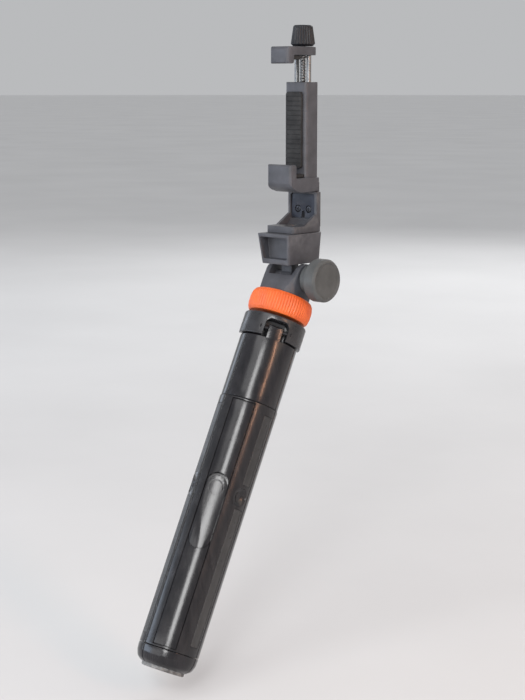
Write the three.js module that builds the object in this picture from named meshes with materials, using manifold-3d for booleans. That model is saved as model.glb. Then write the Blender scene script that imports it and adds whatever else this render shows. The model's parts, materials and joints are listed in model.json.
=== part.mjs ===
// A phone holder on a telescopic stick whose handle opens into a three-legged stand.
// Millimetres, +Z up, -Y the side the phone's screen faces, +X the side of the tilt knob.
// The clamp stands upright and the handle leans, with the origin where the hand holds it.

import * as THREE from "three";
import { mergeVertices } from "three/addons/utils/BufferGeometryUtils.js";
import Module from "manifold-3d";

const wasm = await Module();
wasm.setup();

// ---------------------------------------------------------------- driving dimensions

const LEAN = 27; // degrees between the handle's axis and the upright clamp
const HOLD = 116; // from the feet up the handle's axis to the hand, the part's origin
const PIVOT = 261; // from the feet up the handle's axis to the tilt pivot
const GAP = 0.3; // clearance between pieces that meet

const LEG_TURN = { front: 48, right: 168, left: 288 }; // degrees from -Y towards +X
const LEG = { inner: 9.6, core: 16.5, outer: 18.65, grip: 19.05, halfAngle: 59.1, top: 215.6 };
const TROUGH = { radius: 12.7, low: 24, high: 162, halfAngle: 42 }; // hollow inside each leg
const FOOT = { top: 13, round: 9, pad: 13.6, padHigh: 2.4, padEdge: 0.5, step: 0.6, inner: 2.5 };
const GRIP_TOP = 174;
const FACE_TURN = -17; // degrees from the middle of a leg to the middle of its inlay and remote
const INLAY = { half: 7.2, floor: 17.7, bottom: 18, face: 18.9, low: 14.8, high: 172.5, lap: 6.5 };
const REMOTE = { low: 77, high: 125, half: 6.9, back: 14.3, face: 18.8 };
const BUTTON = { radius: 4.6, well: 5, height: 116, bottom: 17.5, floor: 16.6, sunk: 0.1 };
const PULL = { turn: 37, low: 109, high: 120.6, half: 5.3, deep: 16.9 }; // dimple for opening a leg
const HINGE = { radius: 16.4, height: 221.4, pin: 1.2, bore: 1.5, reach: 10 };
const TONGUE = { half: 4.8, radius: 2.6, low: 207.6 };

const COLLAR = { low: 216.2, high: 230.6, radius: 20.3, bore: 9.1, edge: 0.9 };
const NOTCH = { half: 7.6, top: 227.4, round: 3.5, deep: 10.5 }; // in the collar, round each tongue
const RING = { low: 232.5, high: 246.9, radius: 20.6, lip: 18.8, bore: 9.1, recess: 12.9, throat: 11.2 };
const COLLET = { bore: 8, radius: 10.9, topRadius: 12.5, slit: 0.6 };
// Outer radius, wall, lowest and highest point of each telescopic section.
const TUBES = [
  { radius: 8.8, wall: 0.8, low: 50, high: 241.4 },
  { radius: 7.7, wall: 0.8, low: 55, high: 244.1 },
  { radius: 6.6, wall: 0.8, low: 60, high: 245.3 },
  { radius: 5.5, wall: 0.8, low: 65, high: 246.5 },
  { radius: 4.4, wall: 4.4, low: 70, high: 250.6 },
];
const BUSH = { height: 3.5, bore: 1.5, proud: 0.1 };
const THREAD = { bore: 1.8, deep: 12 }; // for the swivel screw, in the end of the innermost tube

// From here on heights are measured from the tilt pivot.
const NECK = {
  low: -13.8, waist: -2, crown: 9.3, baseX: 14.6, baseY: 13.6, topX: 14, topY: 10, round: 16.5, shoulder: 8,
};
const TUBE_SOCKET = { radius: 4.7, high: -10 };
const SWIVEL = {
  head: 3, headTop: -6.4, headLow: -8, shank: 1.5, low: -20, wellBore: 3.3, wellLow: -8.3, bore: 1.8,
};
const FORK = { half: 10, floor: -1.7, trough: 6 };
const LUG = { half: 4.3, radius: 5.3, stem: 3.5 };
const SPACER_RADIUS = 4.6;
const TILT_BOLT = { radius: 2.4, bore: 2.7, left: -14.3, right: 27.5, head: 4.6, headThick: 2.2 };
const SOCKET = { radius: 1.8, deep: 1.4 }; // hexagon in the tilt bolt's head
const KNOB = { inner: 14.6, step: 22, outer: 31.5, hub: 9.6, radius: 13.75, rim: 11.2, face: 30.8 };
const INSERT = { radius: 4, low: 14.3, high: 22.3 };
const BLOCK = {
  low: 9.5, high: 28.9, frontLow: -14.4, frontHigh: -17, back: 18, halfLow: 11.6, halfHigh: 13.4,
  round: 1.5, roundBack: 6,
};
const RECESS = { low: 12.8, high: 26.7, halfLow: 9.9, halfHigh: 11.4, floor: -8.8 };

const PAN = { y: 3, bore: 2.6, shank: 2.3, head: 4.2, sink: 2.1, reach: 12, socket: 1.6, socketDeep: 0.7 };
const LEDGE = { low: 29.2, high: 33.4, half: 12, front: -10, back: 16 };
const PLATE = { front: 11.8, back: 15.7, top: 54.5 };
const GUSSET = { thick: 2, reach: 12, rise: 7.2 };
const PANEL = { half: 10.2, low: 36.6, high: 53.4, deep: 0.9, round: 2 };
const PANEL_SLOT = { half: 1.3, low: 37.6, high: 42, round: 0.6 };
const PANEL_SCREW = { x: 4.5, z: 43.2, shank: 1.1, head: 2.1, face: 12.9, seat: 13.9, end: 18, well: 14.2 };

const JAW = { front: -11.4, lip: -5.9, half: 10.5, low: 54.8, seat: 63.9, lipTop: 72.4 };
const SPINE = { half: 9, front: 4.6, back: 17.2, top: 124, boresLow: 57 };
const TAIL = { half: 9, front: 16, back: 18.3, low: 37.5 };
const PHONE = { low: 66.4, high: 137.9, back: 2.3 }; // the space a large phone fills between the pads
const SEAT_PAD = { half: 8.4, front: -5.4, back: 4.2, round: 1.5 };
const BACK_PAD = { half: 6.5, low: 70, high: 118, round: 2 };
const TOP_PAD = { half: 6.6, front: -5.4, back: 3, round: 1.5 };
const ARM = { low: 140.7, high: 146, half: 8.2, lipLow: 135.4, back: 22, round: 3 };
const SCREW = { y: 11.7, radius: 2, bore: 2.3, low: 82, high: 150.6 };
const NUT = { half: 2.7, low: 109, high: 115 };
const CLIP = { radius: 3.1, low: 139.2, high: 140.3 };
const GUIDE = { x: 5, radius: 1.5, bore: 1.8, low: 85, high: 144.2 };
const TOP_KNOB = { low: 146.4, high: 159.5, radius: 7.8, topRadius: 6.2, lowRadius: 6.2, edge: 1 };
const COVER = {
  half: 7.2, low: 64.3, high: 120.7, front: 15.9, floor: 15.6, screws: { lower: 70, upper: 90 },
};
const COVER_SCREW = { head: 1.7, face: 17, seat: 16, shank: 0.9, end: 14.9, well: 2, pilot: 1.2 };

// ---------------------------------------------------------------- materials

const material = (color, roughness, metalness) =>
  new THREE.MeshStandardMaterial({ color, roughness, metalness });

const looks = {
  head: () => material(0x4d4d50, 0.6, 0),
  handle: () => material(0x2a2a2d, 0.35, 0),
  gloss: () => material(0x222226, 0.2, 0),
  orange: () => material(0xf0641e, 0.5, 0),
  rubber: () => material(0x1c1c1e, 0.9, 0),
  tube: () => material(0x3a3b3e, 0.35, 0.9),
  steel: () => material(0xa6a8aa, 0.3, 1),
  brass: () => material(0xb08d4a, 0.35, 1),
  nylon: () => material(0xc9c9c4, 0.6, 0),
};

// ---------------------------------------------------------------- solids

const FINE = 28; // sides of a large round
const SMALL = 12; // sides of a small round
const FAR = 22; // mm, past every outside face of the handle and the neck
const radians = THREE.MathUtils.degToRad;

function solidOf(geometry) {
  const loose = geometry.index ? geometry.toNonIndexed() : geometry;
  const bare = new THREE.BufferGeometry().setAttribute("position", loose.getAttribute("position"));
  const merged = mergeVertices(bare, 1e-4);
  return new wasm.Manifold(
    new wasm.Mesh({
      numProp: 3,
      vertProperties: merged.getAttribute("position").array,
      triVerts: new Uint32Array(merged.index.array),
    }),
  );
}

function geometryOf(solid) {
  const { vertProperties, triVerts, numProp, numVert } = solid.getMesh();
  const positions = new Float32Array(numVert * 3);
  for (let i = 0; i < numVert; i++)
    positions.set(vertProperties.subarray(i * numProp, i * numProp + 3), i * 3);
  return new THREE.BufferGeometry()
    .setAttribute("position", new THREE.BufferAttribute(positions, 3))
    .setIndex(new THREE.BufferAttribute(triVerts, 1));
}

const combine = (how) => (first, ...others) =>
  geometryOf(others.reduce((whole, next) => whole[how](solidOf(next)), solidOf(first)));
const join = combine("add");
const cut = combine("subtract");
const common = combine("intersect");

const box = (x0, x1, y0, y1, z0, z1) =>
  new THREE.BoxGeometry(x1 - x0, y1 - y0, z1 - z0)
    .translate((x0 + x1) / 2, (y0 + y1) / 2, (z0 + z1) / 2);

const rod = (radius, z0, z1, sides = SMALL, topRadius = radius) =>
  new THREE.CylinderGeometry(topRadius, radius, z1 - z0, sides)
    .rotateX(Math.PI / 2)
    .translate(0, 0, (z0 + z1) / 2);

const rodAlongX = (radius, x0, x1, sides = SMALL) => rod(radius, x0, x1, sides).rotateY(Math.PI / 2);
const rodAlongY = (radius, y0, y1, sides = SMALL) => rod(radius, -y1, -y0, sides).rotateX(Math.PI / 2);

// A profile of [radius, height] pairs turned about Z. It closes on itself or ends on the axis.
const turned = (profile, sides = FINE) =>
  new THREE.LatheGeometry(profile.map(([r, z]) => new THREE.Vector2(r, z)), sides).rotateX(Math.PI / 2);

const closed = (points) => [...points, points[0]];

function shapeOf(points) {
  const shape = new THREE.Shape();
  points.forEach(([u, v], i) => (i ? shape.lineTo(u, v) : shape.moveTo(u, v)));
  return shape;
}

function roundedRect(u0, u1, v0, v1, low, high = low) {
  const quarter = Math.PI / 2;
  return new THREE.Shape()
    .absarc(u1 - low, v0 + low, low, -quarter, 0)
    .absarc(u1 - high, v1 - high, high, 0, quarter)
    .absarc(u0 + high, v1 - high, high, quarter, 2 * quarter)
    .absarc(u0 + low, v0 + low, low, 2 * quarter, 3 * quarter);
}

const extrude = (shape, depth, curveSegments = 4) =>
  new THREE.ExtrudeGeometry(shape, { depth, curveSegments, bevelEnabled: false });

const upright = (shape, z0, z1, segments) => extrude(shape, z1 - z0, segments).translate(0, 0, z0);

const facing = (u, v, w) => new THREE.Matrix4().makeBasis(u, v, w);
const X = new THREE.Vector3(1, 0, 0);
const Y = new THREE.Vector3(0, 1, 0);
const Z = new THREE.Vector3(0, 0, 1);

// An outline in Y and Z, running along X.
const sideways = (shape, x0, x1, segments) =>
  extrude(shape, x1 - x0, segments).translate(0, 0, x0).applyMatrix4(facing(Y, Z, X));

// An outline in X and Z, running along Y.
const frontways = (shape, y0, y1, segments) =>
  extrude(shape, y1 - y0, segments)
    .translate(0, 0, -y1)
    .applyMatrix4(facing(X, Z, Y.clone().negate()));

const mirrored = (points) => [...points, ...points.map(([u, v]) => [-u, v]).reverse()];

// ---------------------------------------------------------------- scene graph

const stick = new THREE.Group();
const handle = new THREE.Group(); // Z along the handle, 0 at the feet
const neckSide = new THREE.Group(); // Z along the handle, 0 at the tilt pivot
const head = new THREE.Group(); // upright, 0 at the tilt pivot
const lean = radians(LEAN);
handle.rotation.x = -lean;
handle.position.set(0, -HOLD * Math.sin(lean), -HOLD * Math.cos(lean));
neckSide.position.z = PIVOT;
handle.add(neckSide);
head.position.set(0, (PIVOT - HOLD) * Math.sin(lean), (PIVOT - HOLD) * Math.cos(lean));
stick.add(handle, head);

function place(parent, name, geometry, look) {
  const mesh = new THREE.Mesh(geometry, look());
  mesh.name = name;
  parent.add(mesh);
}

// ---------------------------------------------------------------- handle: legs

// A slice of a tube, centred on -Y.
function sector(inner, outer, halfAngle) {
  const middle = -Math.PI / 2;
  const half = radians(halfAngle);
  return new THREE.Shape()
    .absarc(0, 0, outer, middle - half, middle + half)
    .absarc(0, 0, inner, middle + half, middle - half, true);
}

const SECTOR_STEPS = 10;
const legSlice = (inner, outer, z0, z1, halfAngle = LEG.halfAngle) =>
  upright(sector(inner, outer, halfAngle), z0, z1, SECTOR_STEPS);

// An upright bar with round ends, from one depth to another below -Y.
const pill = (half, z0, z1, y0, y1) =>
  frontways(roundedRect(-half, half, z0, z1, half - 0.1), y0, y1, 6);

const hingeRod = (radius, half) =>
  rodAlongX(radius, -half, half, 12).translate(0, -HINGE.radius, HINGE.height);

const onFace = (geometry) => geometry.rotateZ(radians(FACE_TURN));

const remotePocket = () =>
  pill(REMOTE.half + GAP, REMOTE.low - GAP, REMOTE.high + GAP, -FAR, -REMOTE.back + GAP);

function legCore(holdsRemote) {
  const { half, radius, low } = TONGUE;
  const y = -HINGE.radius;
  const tongue = join(
    box(-half, half, y - radius, y + radius, low, HINGE.height),
    rodAlongX(radius, -half, half, 16).translate(0, y, HINGE.height),
  );
  const core = join(
    legSlice(LEG.inner, LEG.core, FOOT.top + GAP, GRIP_TOP + 1),
    legSlice(LEG.inner, LEG.outer, GRIP_TOP + GAP, LEG.top),
    common(tongue, legSlice(LEG.inner, LEG.outer, low - 1, HINGE.height + FAR, LEG.halfAngle / 2)),
  );
  const trough = legSlice(LEG.inner - 1, TROUGH.radius, TROUGH.low, TROUGH.high, TROUGH.halfAngle);
  const bore = hingeRod(HINGE.bore, 2 * half);
  return holdsRemote ? cut(core, trough, bore, onFace(remotePocket())) : cut(core, trough, bore);
}

// A strip that is level across its width with the round of the leg.
const band = (half, inner, outer, z0, z1) =>
  common(legSlice(inner, outer, z0, z1, 40), box(-half, half, -FAR, -inner / 2, z0, z1));

function legGrip(holdsRemote) {
  const shell = legSlice(LEG.core + GAP, LEG.grip, FOOT.top + GAP, GRIP_TOP);
  const channel = onFace(band(INLAY.half + GAP, INLAY.floor, FAR, INLAY.low - GAP, INLAY.high + GAP));
  const pull = pill(PULL.half, PULL.low, PULL.high, -FAR, -PULL.deep).rotateZ(radians(PULL.turn));
  return holdsRemote ? cut(shell, channel, pull, onFace(remotePocket())) : cut(shell, channel, pull);
}

const inlay = (z0, z1) => band(INLAY.half, INLAY.bottom, INLAY.face, z0, z1);

function foot() {
  const { top, round, pad, padHigh, padEdge, step, inner } = FOOT;
  const corner = [0, 0.25, 0.5, 0.75, 1].map((t) => {
    const angle = (t * Math.PI) / 2;
    return [
      pad + step + (LEG.grip - pad - step) * Math.sin(angle),
      padHigh + round * (1 - Math.cos(angle)),
    ];
  });
  const profile = turned([
    [0, 0], [pad - padEdge, 0], [pad, padEdge], [pad, padHigh], ...corner, [LEG.grip, top], [0, top],
  ]);
  return common(profile, legSlice(inner, FAR, 0, top));
}

function remoteBody() {
  const outline = pill(REMOTE.half, REMOTE.low, REMOTE.high, -FAR, -REMOTE.back);
  const face = legSlice(REMOTE.back / 2, REMOTE.face, REMOTE.low - 1, REMOTE.high + 1, 40);
  const well = rodAlongY(BUTTON.well, -FAR, -BUTTON.floor, 16).translate(0, 0, BUTTON.height);
  return cut(common(outline, face), well);
}

const remoteButton = () =>
  common(
    rodAlongY(BUTTON.radius, -FAR, -BUTTON.bottom, 16).translate(0, 0, BUTTON.height),
    legSlice(BUTTON.bottom / 2, REMOTE.face - BUTTON.sunk, REMOTE.low, REMOTE.high, 40),
  );

function addLeg(side) {
  const leg = new THREE.Group();
  leg.rotation.z = radians(LEG_TURN[side]);
  const face = new THREE.Group(); // turned from the leg's middle, for the inlay and the remote
  face.rotation.z = radians(FACE_TURN);
  leg.add(face);
  handle.add(leg);
  const holdsRemote = side === "front";
  place(leg, `leg_${side}`, legCore(holdsRemote), looks.handle);
  place(leg, `grip_${side}`, legGrip(holdsRemote), looks.handle);
  place(leg, `foot_${side}`, foot(), looks.rubber);
  if (holdsRemote) {
    const above = inlay(REMOTE.high - INLAY.lap, INLAY.high);
    const below = inlay(INLAY.low, REMOTE.low + INLAY.lap);
    place(face, "inlay_front_upper", cut(above, remotePocket()), looks.gloss);
    place(face, "inlay_front_lower", cut(below, remotePocket()), looks.gloss);
    place(face, "remote_body", remoteBody(), looks.gloss);
    place(face, "remote_button", remoteButton(), looks.rubber);
  } else {
    place(face, `inlay_${side}`, inlay(INLAY.low, INLAY.high), looks.gloss);
  }
  place(leg, `leg_pin_${side}`, hingeRod(HINGE.pin, HINGE.reach), looks.steel);
}
Object.keys(LEG_TURN).forEach(addLeg);

// ---------------------------------------------------------------- handle: collar, ring and tubes

function legCollar() {
  const { low, high, radius, bore, edge } = COLLAR;
  const ring = turned(closed([
    [bore, low], [radius, low], [radius, high - edge], [radius - edge, high], [bore, high],
  ]));
  const cutters = Object.values(LEG_TURN).flatMap((turn) => {
    const opening = roundedRect(-NOTCH.half, NOTCH.half, low - 10, NOTCH.top, NOTCH.round);
    const tools = [frontways(opening, -FAR, -NOTCH.deep, 4), hingeRod(HINGE.bore, HINGE.reach + GAP)];
    return tools.map((tool) => tool.rotateZ(radians(turn)));
  });
  return cut(ring, ...cutters);
}
place(handle, "leg_collar", legCollar(), looks.handle);

const seat = TUBES[0].high + 0.2; // where the ring's bore widens over the outer tube's end

function lockRing() {
  const { low, high, radius, lip, bore, recess, throat } = RING;
  const [shoulder, slope] = [2, 5.2]; // heights of the two steps of its rounded rim, from either end
  return turned(closed([
    [bore, low], [lip, low], [radius - 0.6, low + shoulder], [radius, low + slope],
    [radius, high - slope], [radius - 0.6, high - shoulder],
    [lip, high], [recess, high], [throat, seat], [bore, seat],
  ]), 30);
}
place(handle, "lock_ring", lockRing(), looks.orange);

function lockCollet() {
  const { bore, radius, topRadius, slit } = COLLET;
  const top = RING.high - 0.2;
  const cone = turned(closed([[bore, seat + GAP], [radius, seat + GAP], [topRadius, top], [bore, top]]), 24);
  return cut(cone, box(0, FAR, -slit, slit, seat, RING.high));
}
place(handle, "lock_collet", lockCollet(), looks.nylon);

TUBES.forEach(({ radius, wall, low, high }, i) => {
  const inner = radius - wall;
  const shell = wall < radius
    ? turned(closed([[inner, low], [radius, low], [radius, high], [inner, high]]), 24)
    : cut(rod(radius, low, high, 20), rod(THREAD.bore, high - THREAD.deep, high + 1));
  place(handle, i ? `tube_${i + 1}` : "outer_tube", shell, looks.tube);
  if (!i) return;
  const top = low - GAP;
  const bottom = top - BUSH.height;
  const rim = radius + BUSH.proud;
  const bush = turned(closed([[BUSH.bore, bottom], [rim, bottom], [rim, top], [BUSH.bore, top]]), 20);
  place(handle, `bush_${i + 1}`, bush, looks.nylon);
});

// ---------------------------------------------------------------- neck and tilt joint

function neck() {
  const { low, waist, crown, baseX, baseY, topX, topY, round } = NECK;
  const shoulder = radians(NECK.shoulder); // the cheeks are round about the pivot above this angle
  const front = shapeOf(mirrored([[baseX, low], [topX, waist], [topX, crown]]));
  const side = shapeOf([[-topY, 0], [-topY, waist], [-baseY, low], [baseY, low], [topY, waist], [topY, 0]]);
  side.absarc(0, 0, crown, shoulder, Math.PI - shoulder);
  const whole = common(
    frontways(front, -FAR, FAR),
    sideways(side, -FAR, FAR, 10),
    rod(round, low, crown + 1, FINE),
  );
  return cut(
    whole,
    box(-FORK.half, FORK.half, -FAR, FAR, FORK.floor, FAR),
    rodAlongX(FORK.trough, -FORK.half, FORK.half, 20),
    rodAlongX(TILT_BOLT.bore, -FAR, FAR),
    rod(SWIVEL.wellBore, SWIVEL.wellLow, 0),
    rod(SWIVEL.bore, TUBE_SOCKET.high - 1, 0),
    rod(TUBE_SOCKET.radius, low - 1, TUBE_SOCKET.high, 20),
  );
}
place(neckSide, "neck", neck(), looks.head);

const swivelScrew = join(
  rod(SWIVEL.head, SWIVEL.headLow, SWIVEL.headTop),
  rod(SWIVEL.shank, SWIVEL.low, SWIVEL.headLow + 0.1),
);
place(neckSide, "swivel_screw", swivelScrew, looks.steel);

// The bolt, its spacers and the knob share the tilt axis, along X.
function alongTilt(profile, sides) {
  return turned(profile, sides).rotateY(Math.PI / 2);
}
const spacer = [
  [TILT_BOLT.bore, LUG.half + GAP], [SPACER_RADIUS, LUG.half + GAP],
  [SPACER_RADIUS, FORK.half - GAP], [TILT_BOLT.bore, FORK.half - GAP],
];
place(head, "tilt_spacer_right", alongTilt(closed(spacer), 18), looks.nylon);
place(head, "tilt_spacer_left",
  alongTilt(closed(spacer.map(([r, x]) => [r, -x]).reverse()), 18), looks.nylon);

const boltHead = TILT_BOLT.left - TILT_BOLT.headThick;
place(head, "tilt_bolt", cut(
  join(
    rodAlongX(TILT_BOLT.radius, TILT_BOLT.left - 0.1, TILT_BOLT.right),
    rodAlongX(TILT_BOLT.head, boltHead, TILT_BOLT.left, 18),
  ),
  rodAlongX(SOCKET.radius, boltHead - 1, boltHead + SOCKET.deep, 6),
), looks.steel);

const knobBack = INSERT.high + GAP;
const insertBore = INSERT.radius + GAP;
const boltEnd = TILT_BOLT.right + 0.6;
const knobProfile = closed([
  [insertBore, KNOB.inner], [KNOB.hub - 2, KNOB.inner], [KNOB.hub - 0.4, KNOB.inner + 1.4],
  [KNOB.hub, KNOB.step - 0.4], [KNOB.radius - 0.95, KNOB.step], [KNOB.radius, KNOB.step + 1],
  [KNOB.radius, KNOB.outer - 1.1], [KNOB.radius - 1.05, KNOB.outer], [KNOB.rim, KNOB.outer],
  [KNOB.rim - 0.6, KNOB.face], [0.01, KNOB.face], [0.01, boltEnd], [TILT_BOLT.bore, boltEnd],
  [TILT_BOLT.bore, knobBack], [insertBore, knobBack],
]);
const knobCore = rodAlongX(1, boltEnd, KNOB.face, 8); // fills the line the profile leaves on the axis
place(head, "tilt_knob", join(alongTilt(knobProfile, FINE), knobCore), looks.head);

const { radius: insertRadius, low: insertLow, high: insertHigh } = INSERT;
const insert = closed([
  [TILT_BOLT.bore, insertLow], [insertRadius, insertLow],
  [insertRadius, insertHigh], [TILT_BOLT.bore, insertHigh],
]);
place(head, "knob_insert", alongTilt(insert, 16), looks.brass);

// ---------------------------------------------------------------- tilt block and bracket

function tiltBlock() {
  const { low, high, frontLow, frontHigh, back, halfLow, halfHigh, round, roundBack } = BLOCK;
  const body = common(
    frontways(shapeOf(mirrored([[halfLow, low], [halfHigh, high]])), -FAR, FAR),
    sideways(shapeOf([[frontLow, low], [back, low], [back, high], [frontHigh, high]]), -FAR, FAR),
    upright(roundedRect(-halfHigh, halfHigh, frontHigh, back, round, roundBack), low, high, 5),
  );
  const lug = join(
    rodAlongX(LUG.radius, -LUG.half, LUG.half, 20),
    box(-LUG.half, LUG.half, -LUG.stem, LUG.stem, 0, low + 1),
  );
  const mouth = shapeOf(mirrored([[RECESS.halfLow, RECESS.low], [RECESS.halfHigh, RECESS.high]]));
  return cut(
    join(body, lug),
    frontways(mouth, -FAR, RECESS.floor),
    rodAlongX(TILT_BOLT.bore, -FAR, FAR),
    rod(PAN.bore, high - PAN.reach - GAP, high + 1).translate(0, PAN.y, 0),
  );
}
place(head, "tilt_block", tiltBlock(), looks.head);

function clampBracket() {
  const { low, high, half, front, back } = LEDGE;
  const gussetSide = shapeOf([
    [PLATE.front - GUSSET.reach, high - 0.5], [PLATE.front + 1, high - 0.5],
    [PLATE.front + 1, high + GUSSET.rise + 0.5], [PLATE.front, high + GUSSET.rise],
    [PLATE.front - GUSSET.reach, high],
  ]);
  const screwWells = [-PANEL_SCREW.x, PANEL_SCREW.x].map((x) =>
    join(
      rodAlongY(PANEL_SCREW.shank + GAP, 0, FAR, 10),
      rodAlongY(PANEL_SCREW.head + GAP, 0, PANEL_SCREW.well, 14),
    ).translate(x, 0, PANEL_SCREW.z));
  const panel = roundedRect(-PANEL.half, PANEL.half, PANEL.low, PANEL.high, PANEL.round);
  const slot = roundedRect(
    -PANEL_SLOT.half, PANEL_SLOT.half, PANEL_SLOT.low, PANEL_SLOT.high, PANEL_SLOT.round);
  return cut(
    join(
      upright(roundedRect(-half, half, front, back, 2.5, 1), low, high),
      box(-half, half, PLATE.front, PLATE.back, high - 1, PLATE.top),
      sideways(gussetSide, half - GUSSET.thick, half),
      sideways(gussetSide, -half, GUSSET.thick - half),
    ),
    frontways(panel, 0, PLATE.front + PANEL.deep),
    frontways(slot, 0, FAR, 2),
    rod(PAN.bore, low - 1, high + 1).translate(0, PAN.y, 0),
    rod(PAN.head + GAP, high - PAN.sink, high + 1, 18).translate(0, PAN.y, 0),
    ...screwWells,
  );
}
place(head, "clamp_bracket", clampBracket(), looks.head);

const panSeat = LEDGE.high - PAN.sink + GAP;
const panBolt = cut(
  join(
    rod(PAN.shank, BLOCK.high - PAN.reach, panSeat + 0.5),
    rod(PAN.head, panSeat, LEDGE.high - 0.2, 18),
  ),
  rod(PAN.socket, panSeat + PAN.socketDeep, LEDGE.high + 1, 6),
).translate(0, PAN.y, 0);
place(head, "pan_bolt", panBolt, looks.steel);

for (const [side, x] of [["left", -PANEL_SCREW.x], ["right", PANEL_SCREW.x]]) {
  const { head: radius, shank, face, seat: under, end } = PANEL_SCREW;
  const screw = cut(
    join(rodAlongY(radius, face, under), rodAlongY(shank, under - 0.1, end, 10)),
    box(0.7 - radius, radius - 0.7, face - 0.9, face + 0.4, -0.3, 0.3),
  );
  place(head, `panel_screw_${side}`, screw.translate(x, 0, PANEL_SCREW.z), looks.steel);
}

// ---------------------------------------------------------------- phone clamp

function lowerJaw() {
  const { front, lip, half, low, seat, lipTop } = JAW;
  const side = shapeOf([
    [SPINE.back - 1, low], [-2, low], [-7, low + 1.6], [-10, low + 3.6], [front, low + 6.2],
    [front, lipTop - 2], [front + 1.2, lipTop], [lip - 1.2, lipTop], [lip, lipTop - 1.6],
    [lip, seat], [SPINE.back - 1, seat],
  ]);
  return common(
    sideways(side, -half, half),
    upright(roundedRect(-half, half, front, SPINE.back, 3, 2), low, lipTop),
  );
}

function clampFrame() {
  const { half, front, back, top } = SPINE;
  const spine = upright(roundedRect(-half, half, front, back, 2.5), JAW.low, top);
  const tail = box(-TAIL.half, TAIL.half, TAIL.front, TAIL.back, TAIL.low, JAW.low + 6);
  const bores = [[0, SCREW.bore], [GUIDE.x, GUIDE.bore], [-GUIDE.x, GUIDE.bore]].map(([x, bore]) =>
    rod(bore, SPINE.boresLow, top + 1).translate(x, SCREW.y, 0));
  const coverHalf = COVER.half + GAP;
  const coverSeat = box(-coverHalf, coverHalf, COVER.floor, FAR, COVER.low - GAP, COVER.high + GAP);
  const nutHalf = NUT.half + GAP;
  const nutPocket = box(
    -nutHalf, nutHalf, SCREW.y - nutHalf, COVER.floor + 0.4, NUT.low - GAP, NUT.high + GAP);
  const pilots = Object.values(COVER.screws).map((z) =>
    rodAlongY(COVER_SCREW.pilot, COVER_SCREW.end - GAP, FAR, 10).translate(0, 0, z));
  const threads = [-PANEL_SCREW.x, PANEL_SCREW.x].map((x) =>
    rodAlongY(PANEL_SCREW.shank + GAP, PLATE.front, FAR, 10).translate(x, 0, PANEL_SCREW.z));
  return cut(join(spine, lowerJaw(), tail), ...bores, coverSeat, nutPocket, ...pilots, ...threads);
}
place(head, "clamp_frame", clampFrame(), looks.head);

place(head, "screw_nut", cut(
  box(-NUT.half, NUT.half, SCREW.y - NUT.half, SCREW.y + NUT.half, NUT.low, NUT.high),
  rod(SCREW.bore, NUT.low - 1, NUT.high + 1).translate(0, SCREW.y, 0),
), looks.brass);

place(head, "spine_cover", cut(
  frontways(roundedRect(-COVER.half, COVER.half, COVER.low, COVER.high, 1), COVER.front, SPINE.back),
  ...Object.values(COVER.screws).map((z) => rodAlongY(COVER_SCREW.well, 0, FAR).translate(0, 0, z)),
), looks.head);
for (const [level, z] of Object.entries(COVER.screws)) {
  const { head: radius, face, seat: under, shank, end } = COVER_SCREW;
  const screw = cut(
    join(rodAlongY(radius, under, face), rodAlongY(shank, end, under + 0.1, 10)),
    box(0.5 - radius, radius - 0.5, face - 0.4, face + 1, -0.25, 0.25),
  );
  place(head, `cover_screw_${level}`, screw.translate(0, 0, z), looks.steel);
}

const padOutline = ({ half, front, back, round }) => roundedRect(-half, half, front, back, round);
place(head, "lower_pad", upright(padOutline(SEAT_PAD), JAW.seat + GAP, PHONE.low), looks.rubber);
const backOutline = roundedRect(-BACK_PAD.half, BACK_PAD.half, BACK_PAD.low, BACK_PAD.high, BACK_PAD.round);
place(head, "back_pad", frontways(backOutline, PHONE.back + GAP, SPINE.front - GAP), looks.rubber);

function upperJaw() {
  const { low, high, half, lipLow, back, round } = ARM;
  const { front, lip } = JAW;
  const side = shapeOf([
    [front, lipLow + 1.4], [front + 1, lipLow], [lip - 1, lipLow], [lip, lipLow + 1.2],
    [lip, low], [back, low], [back, high], [front + 2.4, high], [front, high - 2],
  ]);
  const plan = new THREE.Shape()
    .absarc(half - round, front + round, round, -Math.PI / 2, 0)
    .absarc(0, SCREW.y, half, 0, Math.PI)
    .absarc(round - half, front + round, round, Math.PI, 1.5 * Math.PI);
  return cut(
    common(sideways(side, -half, half), upright(plan, lipLow, high, 8)),
    rod(SCREW.bore, low - 1, high + 1).translate(0, SCREW.y, 0),
    rod(GUIDE.bore, low - 1, GUIDE.high + GAP, 12).translate(GUIDE.x, SCREW.y, 0),
    rod(GUIDE.bore, low - 1, GUIDE.high + GAP, 12).translate(-GUIDE.x, SCREW.y, 0),
  );
}
place(head, "upper_jaw", upperJaw(), looks.head);
place(head, "upper_pad", upright(padOutline(TOP_PAD), PHONE.high, ARM.low - GAP), looks.rubber);

for (const [side, x] of [["left", -GUIDE.x], ["right", GUIDE.x]])
  place(head, `guide_rod_${side}`,
    rod(GUIDE.radius, GUIDE.low, GUIDE.high, 12).translate(x, SCREW.y, 0), looks.steel);

place(head, "lead_screw", rod(SCREW.radius, SCREW.low, SCREW.high).translate(0, SCREW.y, 0), looks.steel);
const clip = turned(closed([
  [SCREW.bore, CLIP.low], [CLIP.radius, CLIP.low], [CLIP.radius, CLIP.high], [SCREW.bore, CLIP.high],
]), 14);
place(head, "screw_clip", clip.translate(0, SCREW.y, 0), looks.steel);

function topKnob() {
  const { low, high, radius, topRadius, lowRadius, edge } = TOP_KNOB;
  const body = turned([
    [0, low], [lowRadius, low], [radius, low + 1.4],
    [topRadius, high - edge], [topRadius - edge, high], [0, high],
  ], 24);
  return cut(body, rod(SCREW.bore, low - 1, SCREW.high + GAP));
}
place(head, "top_knob", topKnob().translate(0, SCREW.y, 0), looks.head);

export default stick;
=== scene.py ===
import json
import math

import bmesh
import bpy
from mathutils import Matrix, Vector


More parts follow.
